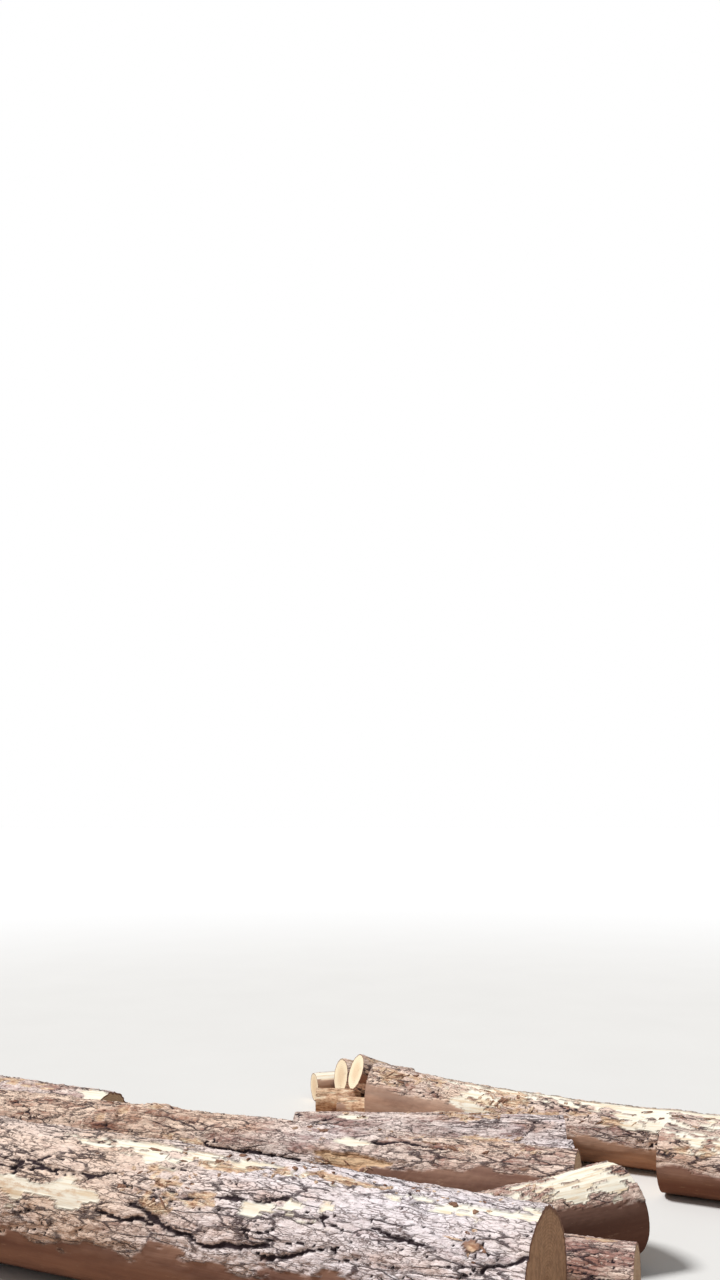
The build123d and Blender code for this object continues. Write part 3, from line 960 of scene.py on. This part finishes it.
def add_world():
    """A plain fill light, seen as white by the camera and in glossy and clear surfaces."""
    world = bpy.data.worlds.new("studio")
    bpy.context.scene.world = world
    n = Nodes(world)
    fill = n.tree.nodes["Background"]
    n.fill(fill, {"Color": (1, 1, 1, 1), "Strength": FILL_STRENGTH})
    white = n.node("Background", {"Color": (1, 1, 1, 1), "Strength": 1.0})[0]
    seen = n.seen_directly("Glossy", "Transmission")
    choice = n.node("MixShader", {0: seen, 1: fill.outputs[0], 2: white})[0]
    n.fill(n.tree.nodes["World Output"], {"Surface": choice})


def add_key_light():
    key = bpy.data.lights.new("key", "SUN")
    key.energy = KEY_ENERGY
    key.angle = KEY_SOFTNESS
    lamp = add_object("key", key)
    lamp.rotation_euler = Vector(KEY_FROM).to_track_quat("Z", "Y").to_euler()


def add_camera():
    """The photo's camera."""
    data = bpy.data.cameras.new("camera")
    data.sensor_width = 36
    data.lens = CAMERA_LENS
    data.clip_end = 200
    camera = add_object("camera", data)
    camera.location = CAMERA_PLACE
    camera.rotation_euler = (CAMERA_TILT, 0, 0)
    bpy.context.scene.camera = camera


Bare, Inner, RubbedAndShade, Scar, Speckled, Torn = (
    partial(Patch, kind) for kind in ("bare", "inner", "rubbed_and_shade", "scar", "speckled", "torn"))

# What the stubs and the billets share
STUB = {"slot": "bark_brown", "seen_end": "left", "grid": 6 * MM, "plate": (0.08, 0.03), "depth": 3 * MM,
        "warm": (0.9, 0.9)}
BILLET = {**STUB, "grid": 7 * MM, "plate": (0.09, 0.035), "depth": 3.5 * MM, "warm": (0.8, 0.8), "aged_and_shade": 0.0}

# The belly angles below, and most rubbed patches, mark where the logs' undersides are painted with shade.
DRESSINGS = (
    Dressing(
        "front_log", "bark_grey", "right", grid=7.2 * MM, seed=1, plate=(0.30, 0.060), depth=8 * MM,
        warm=(0.25, 0.22, 0.45, 0.9, 0.9, 0.8, 0.8), shaded_belly=(2, 15, 6, -7, -18, -27, -30), aged_and_shade=0.85,
        tone_and_shade=-1.0,
        knots=(Knot(0.17, 42, 0.040, 0.008),),
        patches=(
            Bare(1.82, 28, 0.26, 0.040, 0.7), Bare(1.62, 30, 0.14, 0.055, 0.6),
            Inner(1.23, 46, 0.15, 0.060, 0.9), Speckled(1.26, 82, 0.36, 0.050, 0.9),
            Bare(1.30, 84, 0.22, 0.016, 1.2), Inner(0.95, 78, 0.20, 0.030, 0.9),
            Speckled(0.76, 46, 0.12, 0.040, 1.1), Bare(0.77, 48, 0.05, 0.012, 1.2),
            Inner(0.62, 80, 0.30, 0.028, 0.9), Speckled(0.24, 73, 0.30, 0.036, 1.0),
            Bare(0.14, 74, 0.13, 0.010, 1.3), RubbedAndShade(0.17, 42, 0.026, 0.019, 0.8),
            Bare(0.62, -20, 0.10, 0.016, 0.8),
        ),
        cracks=(
            Crack(0.004, ((0.21, 49), (0.18, 45), (0.19, 37))),
            Crack(0.004, ((0.13, 50), (0.15, 44), (0.12, 37))),
            Crack(0.004, ((0.17, 50), (0.16, 41), (0.17, 35))),
            Crack(0.011, ((1.32, 27), (1.22, 21), (1.14, 14), (1.05, 10), (0.93, 12), (0.81, 18))),
            Crack(0.008, ((0.84, 8), (0.76, 13), (0.68, 19), (0.60, 25))),
            Crack(0.007, ((0.50, 45), (0.41, 41), (0.31, 36))),
            Crack(0.007, ((0.13, 28), (0.07, 34), (0.01, 42))),
            Crack(0.005, ((1.95, 41), (1.80, 43), (1.62, 46))),
            Crack(0.008, ((1.47, 19), (1.36, 16), (1.24, 20))),
            Crack(0.008, ((1.14, 41), (1.02, 44), (0.90, 45), (0.80, 52))),
            Crack(0.010, ((2.60, 50), (2.35, 42), (2.15, 48))),
            Crack(0.010, ((1.70, 128), (1.30, 135), (0.95, 128), (0.60, 132))),
            Crack(0.010, ((2.50, 150), (2.10, 142), (1.80, 150))),
        ),
        flakes=(
            Loose(70, 0.70, 0.62, 82, 12, longest=0.018), Loose(30, 1.25, 0.16, 46, 16),
            Loose(6, 0.17, 0.07, 42, 12), Loose(24, 1.7, 0.7, 100, 40),
        ),
    ),
    Dressing(
        "knotty_log", "bark_brown", "right", grid=6.5 * MM, seed=2, plate=(0.16, 0.055), depth=7 * MM,
        warm=(0.85, 0.75, 0.5, 0.9, 1.2, 1.2, 1.0), shaded_belly=(38, 32, 20, 4, 0, -6, -10), pale=0.1, tone_and_shade=0.3,
        knots=(Knot(2.02, 50, 0.060, 0.016), Knot(1.93, 66, 0.070, 0.020), Knot(1.80, 84, 0.090, 0.022)),
        patches=(
            Bare(0.88, 58, 0.09, 0.022, 0.5), Scar(0.87, 25, 0.17, 0.034, 0.5),
            Inner(1.30, 8, 0.14, 0.030, 0.9), Inner(1.62, 20, 0.10, 0.030, 0.9),
            Bare(1.95, 125, 0.16, 0.040, 0.7),
        ),
        cracks=(
            Crack(0.009, ((1.60, 30), (1.45, 22), (1.28, 26), (1.10, 20))),
            Crack(0.009, ((0.80, 62), (0.66, 66), (0.52, 60))),
            Crack(0.010, ((2.20, 30), (2.02, 22), (1.85, 26))),
            Crack(0.009, ((1.70, 130), (1.30, 140), (0.95, 132))),
        ),
        flakes=(
            Loose(26, 0.45, 0.35, 80, 24), Loose(10, 0.92, 0.12, 12, 12),
            Loose(9, 1.02, 0.05, 20, 5, longest=0.06, slender=1.6), Loose(24, 1.6, 0.6, 84, 30),
        ),
    ),
    Dressing(
        "grey_bolt", "bark_grey", "right", grid=6.5 * MM, seed=3, plate=(0.15, 0.05), depth=5 * MM,
        warm=(0.3, 0.6, 0.8), shaded_belly=(-8, -14), tone_and_shade=0.4,
        patches=(Inner(0.42, 88, 0.13, 0.040, 0.9), Bare(0.95, 70, 0.08, 0.015, 0.8)),
        flakes=(Loose(46, 0.42, 0.15, 90, 20), Loose(10, 0.9, 0.25, 90, 30)),
    ),
    Dressing(
        "grey_offcut", "bark_grey", "right", grid=6.5 * MM, seed=4, plate=(0.15, 0.05), depth=5 * MM,
        warm=(0.3, 0.4, 0.6), tone_and_shade=0.2,
        patches=(Inner(0.34, 80, 0.10, 0.025, 0.9),),
        flakes=(Loose(10, 0.3, 0.15, 90, 30),),
    ),
    Dressing(
        "butt_piece", "peeled_wood", "right", grid=6.0 * MM, seed=5, plate=(0.10, 0.04), depth=5 * MM,
        warm=(0.8, 0.9), shaded_belly=(38, 42, 46, 24), tone_and_shade=1.0,
        patches=(
            Bare(0.13, 100, 0.26, 0.070, 0.6), Bare(0.42, 125, 0.22, 0.030, 0.8),
            Bare(0.64, 84, 0.13, 0.045, 0.5), Speckled(0.36, 68, 0.20, 0.050, 0.9),
            Speckled(0.12, 54, 0.22, 0.036, 0.9),
        ),
        flakes=(Loose(10, 0.5, 0.2, 80, 20),),
    ),
    Dressing(
        "sawn_block", "bark_brown", "right", grid=6.0 * MM, seed=6, plate=(0.11, 0.020), depth=5 * MM,
        warm=(0.7, 0.8), tone_and_shade=1.3,
        patches=(Inner(0.10, 100, 0.08, 0.025, 0.9),),
    ),
    Dressing(
        "back_log", "bark_brown", "right", grid=9 * MM, seed=7, plate=(0.14, 0.05), depth=6 * MM,
        warm=(0.6, 0.6), shaded_belly=(-10, 0, 5, -10), tone_and_shade=0.5,
        patches=(
            Bare(0.06, 80, 0.10, 0.05, 0.7), Inner(0.60, 80, 0.25, 0.04, 0.9),
            Bare(1.70, 120, 0.30, 0.05, 0.6),
        ),
    ),
    Dressing(
        "peeled_log", "peeled_wood", "left", grid=6.8 * MM, seed=8, plate=(0.09, 0.035), depth=4.5 * MM,
        warm=(0.9, 0.8), shaded_belly=(34, 30, -2, 2, 6, 2), pale=1.0,
        patches=(
            Inner(0.16, 62, 0.22, 0.040, 0.9), Speckled(0.57, 30, 0.13, 0.075, 0.6),
            Bare(0.58, 26, 0.07, 0.045, 0.8), Inner(0.72, 48, 0.14, 0.070, 0.9),
            Speckled(0.72, 96, 0.55, 0.040, 0.9), Speckled(1.55, 74, 0.80, 0.075, 0.9),
            Bare(1.35, 84, 0.40, 0.030, 1.0), Inner(1.20, 34, 0.30, 0.025, 0.9),
            Inner(1.85, 30, 0.30, 0.025, 0.9), Bare(1.90, 150, 0.40, 0.060, 0.6),
        ),
        flakes=(Loose(30, 0.16, 0.15, 66, 22), Loose(44, 0.74, 0.16, 55, 24), Loose(20, 1.5, 0.5, 60, 30)),
    ),
    Dressing(
        "right_log", "peeled_wood", "left", grid=8.5 * MM, seed=9, plate=(0.10, 0.04), depth=4.5 * MM,
        warm=(0.8, 0.7), shaded_belly=(10, 5, 0, 5),
        patches=(
            Speckled(0.35, 72, 0.46, 0.075, 0.8), Inner(0.30, 38, 0.30, 0.025, 0.9),
            Bare(1.50, 90, 0.50, 0.070, 0.7),
        ),
    ),
    Dressing(
        "right_stub", **STUB, seed=10, pale=0.45,
        patches=(Torn(0.12, 70, 0.30, 0.120, 0.4), RubbedAndShade(0.12, -20, 0.20, 0.060, 0.4)),
    ),
    Dressing(
        "left_stub", **STUB, seed=11, pale=0.35,
        patches=(Torn(0.12, 80, 0.30, 0.120, 0.4), RubbedAndShade(0.12, -10, 0.20, 0.070, 0.3)),
    ),
    Dressing(
        "front_billet", **BILLET, seed=12,
        patches=(Inner(0.10, 70, 0.14, 0.050, 0.9), RubbedAndShade(0.20, 0, 0.30, 0.060, 0.5)),
    ),
    Dressing(
        "middle_billet", **BILLET, seed=13,
        patches=(Inner(0.10, 80, 0.12, 0.040, 0.9),),
    ),
    Dressing(
        "thin_billet", "bark_brown", "left", grid=6.5 * MM, seed=14, plate=(0.08, 0.03), depth=3 * MM,
        warm=(0.8, 0.8), pale=0.5, aged_and_shade=0.0,
        patches=(RubbedAndShade(0.15, 10, 0.30, 0.070, 0.4), Bare(0.12, 74, 0.30, 0.050, 0.4)),
    ),
)


def dress_logs():
    """Puts one dressed mesh over each CAD node, and loose bark on some."""
    bark, sawn, loose = bark_material(), sawn_material(), flake_material()
    for dressing in DRESSINGS:
        surface = Surface(dressing)
        surface.shape()
        tree = LogMesh(surface).finish((bark, sawn))
        if dressing.flakes:
            LooseBark(surface, tree).finish((loose,))


bpy.context.scene.view_settings.view_transform = "Standard"
dress_logs()
add_floor()
add_world()
add_key_light()
add_camera()
